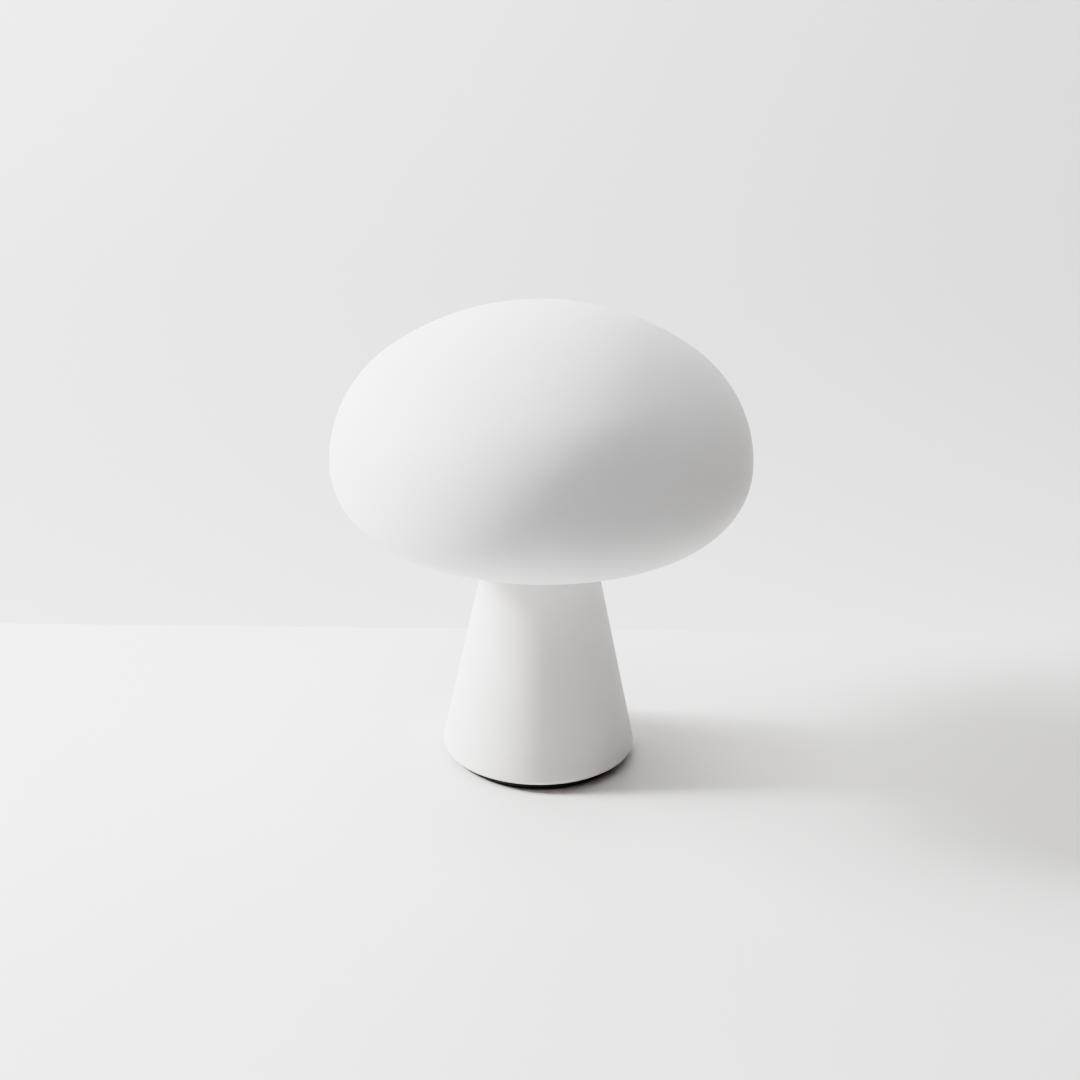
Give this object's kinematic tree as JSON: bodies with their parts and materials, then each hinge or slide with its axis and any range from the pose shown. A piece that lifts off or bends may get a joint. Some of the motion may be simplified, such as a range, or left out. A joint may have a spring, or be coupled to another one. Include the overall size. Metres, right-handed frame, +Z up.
{
  "type": "mushroom table lamp",
  "caption": "Mushroom table lamp: a domed opal glass shade lifts off a tapered opal glass base, with a small screw-in bulb inside.",
  "frame": {"origin": "centre of the foot pad's underside, on the table and on the lamp's axis", "axes": "+Z up the lamp's axis; the cord hole is at the back, on the +Y side; +X to the right seen from the front"},
  "size_m": [0.22, 0.22, 0.25],
  "materials": {
    "shade_glass": "opal white blown glass, acid-etched outside, satin",
    "base_glass": "opal white blown glass, acid-etched outside, satin",
    "black_steel": "fine black powder coat",
    "pad_foam": "closed-cell foam, matt",
    "fibre": "vulcanised fibre, matt brown",
    "cast_iron": "as cast, dark",
    "zinc_steel": "zinc plated",
    "white_steel": "white enamel",
    "spring_steel": "bright spring steel",
    "silicone": "translucent silicone, matt",
    "bush_rubber": "black rubber",
    "nylon": "natural nylon",
    "brass": "drawn brass",
    "lead_brown": "brown insulation",
    "lead_blue": "blue insulation",
    "holder_plastic": "white moulded thermoset",
    "porcelain": "glazed porcelain",
    "globe_plastic": "opal diffuser",
    "collar_plastic": "white moulding",
    "cap_metal": "nickel finish",
    "cap_insulator": "black",
    "solder": "tinned",
    "board_white": "white solder mask",
    "diode": "yellow phosphor",
    "driver_board": "green laminate"
  },
  "bodies": {
    "base": {"base_cone": "base_glass", "base_plate": "black_steel", "foot_pad": "pad_foam", "rim_gasket": "fibre", "ballast_ring": "cast_iron", "ballast_screws": "zinc_steel", "threaded_tube": "zinc_steel", "lower_washer": "zinc_steel", "lower_nut": "zinc_steel", "upper_washer": "zinc_steel", "upper_nut": "zinc_steel", "shade_gallery": "white_steel", "shade_springs": "spring_steel", "spring_rivets": "zinc_steel", "gallery_gasket": "silicone", "shade_seat_ring": "silicone", "cord_bush": "bush_rubber", "terminal_block": "nylon", "terminal_inserts": "brass", "terminal_clamp_screws": "zinc_steel", "terminal_fixing_screw": "zinc_steel", "lead_live": "lead_brown", "lead_neutral": "lead_blue", "holder_cap": "holder_plastic", "holder_skirt": "holder_plastic", "holder_ring": "holder_plastic", "holder_core": "porcelain", "holder_grub_screw": "zinc_steel", "holder_screw_shell": "brass", "holder_centre_contact": "brass", "holder_posts": "brass", "holder_post_screws": "zinc_steel"},
    "shade": {"shade": "shade_glass"},
    "bulb_tip": {"bulb_button": "solder"},
    "bulb": {"bulb_globe": "globe_plastic", "bulb_collar": "collar_plastic", "bulb_cap": "cap_metal", "bulb_insulator": "cap_insulator", "bulb_led_board": "board_white", "bulb_leds": "diode", "bulb_driver": "driver_board"}
  },
  "joints": [
    {"name": "shade_lift", "type": "slide", "parent": "base", "child": "shade", "axis": [0, 0, 1], "range_m": [0, 0.12]},
    {"name": "bulb_travel", "type": "slide", "parent": "base", "child": "bulb_tip", "axis": [0, 0, 1], "range_m": [0, 0.01411]},
    {"name": "bulb_turn", "type": "hinge", "parent": "bulb_tip", "child": "bulb", "pos_m": [0, 0, 0.12], "axis": [0, 0, 1], "range_deg": [0, 1802]}
  ],
  "couplings": [
    {"joint": "bulb_turn", "follows": "bulb_travel", "rad_per_m": 2226.5}
  ]
}
